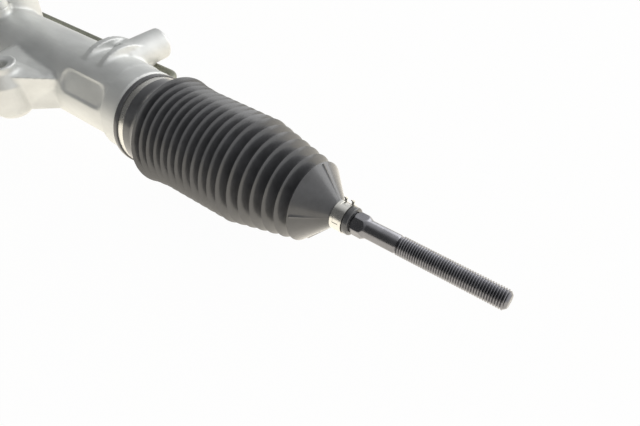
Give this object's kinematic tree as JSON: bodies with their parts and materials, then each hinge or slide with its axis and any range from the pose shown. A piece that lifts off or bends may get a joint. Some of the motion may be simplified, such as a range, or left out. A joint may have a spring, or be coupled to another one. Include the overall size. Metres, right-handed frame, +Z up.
{
  "type": "steering rack",
  "caption": "Hydraulic steering rack with cast end housings, steel cylinder, pinion tower and valve, bellows boots and threaded tie rods.",
  "frame": {"origin": "middle between the two front mounting bolts, on the face they clamp to", "axes": "+X along the rack towards the right tie rod, +Y to the rear, +Z up along the mounting bolts"},
  "size_m": [1.157, 0.1185, 0.184],
  "materials": {
    "cast_aluminium": "die cast, tumbled, bluish grey",
    "steel_tube": "drawn steel tube, thin black paint",
    "machined_steel": "ground and hardened",
    "phosphated_steel": "black phosphate, lightly oiled",
    "zinc_plated_steel": "bright zinc plating",
    "black_rubber": "moulded, matte",
    "engineering_plastic": "moulded, natural"
  },
  "bodies": {
    "housing": {"rack_housing": "cast_aluminium", "end_housing": "cast_aluminium", "cylinder_tube": "steel_tube", "inner_rack_seal": "black_rubber", "outer_rack_seal": "black_rubber", "end_bushing": "engineering_plastic", "end_retaining_ring": "machined_steel", "pinion_ball_bearing": "machined_steel", "pinion_needle_bearing": "machined_steel", "pinion_bottom_cap": "phosphated_steel", "valve_housing": "cast_aluminium", "valve_housing_bolts": "phosphated_steel", "input_bearing": "machined_steel", "input_shaft_seal": "black_rubber", "dust_cap": "black_rubber", "yoke": "cast_aluminium", "yoke_liner": "engineering_plastic", "yoke_o_ring": "black_rubber", "yoke_spring": "machined_steel", "adjuster_plug": "phosphated_steel", "adjuster_lock_nut": "phosphated_steel", "inner_hydraulic_line": "zinc_plated_steel", "outer_hydraulic_line": "zinc_plated_steel", "line_nuts": "zinc_plated_steel", "breather_pipe": "zinc_plated_steel", "pipe_clips": "zinc_plated_steel", "clip_screws": "zinc_plated_steel", "right_boot": "black_rubber", "left_boot": "black_rubber", "right_boot_band": "zinc_plated_steel", "left_boot_band": "zinc_plated_steel"},
    "rack": {"rack_bar": "machined_steel", "piston": "machined_steel", "piston_ring": "engineering_plastic", "piston_snap_rings": "machined_steel", "right_tie_rod_socket": "phosphated_steel", "left_tie_rod_socket": "phosphated_steel", "right_ball_seat": "engineering_plastic", "left_ball_seat": "engineering_plastic", "right_lock_washer": "machined_steel", "left_lock_washer": "machined_steel"},
    "pinion": {"pinion": "machined_steel", "pinion_nut": "machined_steel", "valve_sleeve": "machined_steel", "sleeve_rings": "engineering_plastic", "torsion_bar": "machined_steel"},
    "input_shaft": {"input_shaft": "machined_steel"},
    "right_tie_rod": {"right_tie_rod": "phosphated_steel", "right_neck_clip": "zinc_plated_steel"},
    "left_tie_rod": {"left_tie_rod": "phosphated_steel", "left_neck_clip": "zinc_plated_steel"}
  },
  "joints": [
    {"name": "rack_travel", "type": "slide", "parent": "housing", "child": "rack", "axis": [1, 0, 0], "range_m": [-0.072, 0.072], "deforming": ["right_boot", "left_boot"]},
    {"name": "pinion_spin", "type": "hinge", "parent": "housing", "child": "pinion", "pos_m": [0.1, 0.06507, 0.012], "axis": [0, 0, 1], "range_deg": [-516, 516]},
    {"name": "input_shaft_twist", "type": "hinge", "parent": "pinion", "child": "input_shaft", "pos_m": [0.1, 0.06507, 0.012], "axis": [0, 0, 1], "range_deg": [-4, 4], "stiffness_Nm_per_rad": 20},
    {"name": "right_tie_rod_swing", "type": "hinge", "parent": "rack", "child": "right_tie_rod", "pos_m": [0.4075, 0.048, 0.012], "axis": [0, 1, 0], "range_deg": [-20, 20], "deforming": ["right_boot"]},
    {"name": "left_tie_rod_swing", "type": "hinge", "parent": "rack", "child": "left_tie_rod", "pos_m": [-0.4075, 0.048, 0.012], "axis": [0, 1, 0], "range_deg": [-20, 20], "deforming": ["left_boot"]}
  ],
  "couplings": [
    {"joint": "pinion_spin", "follows": "rack_travel", "rad_per_m": 125}
  ]
}
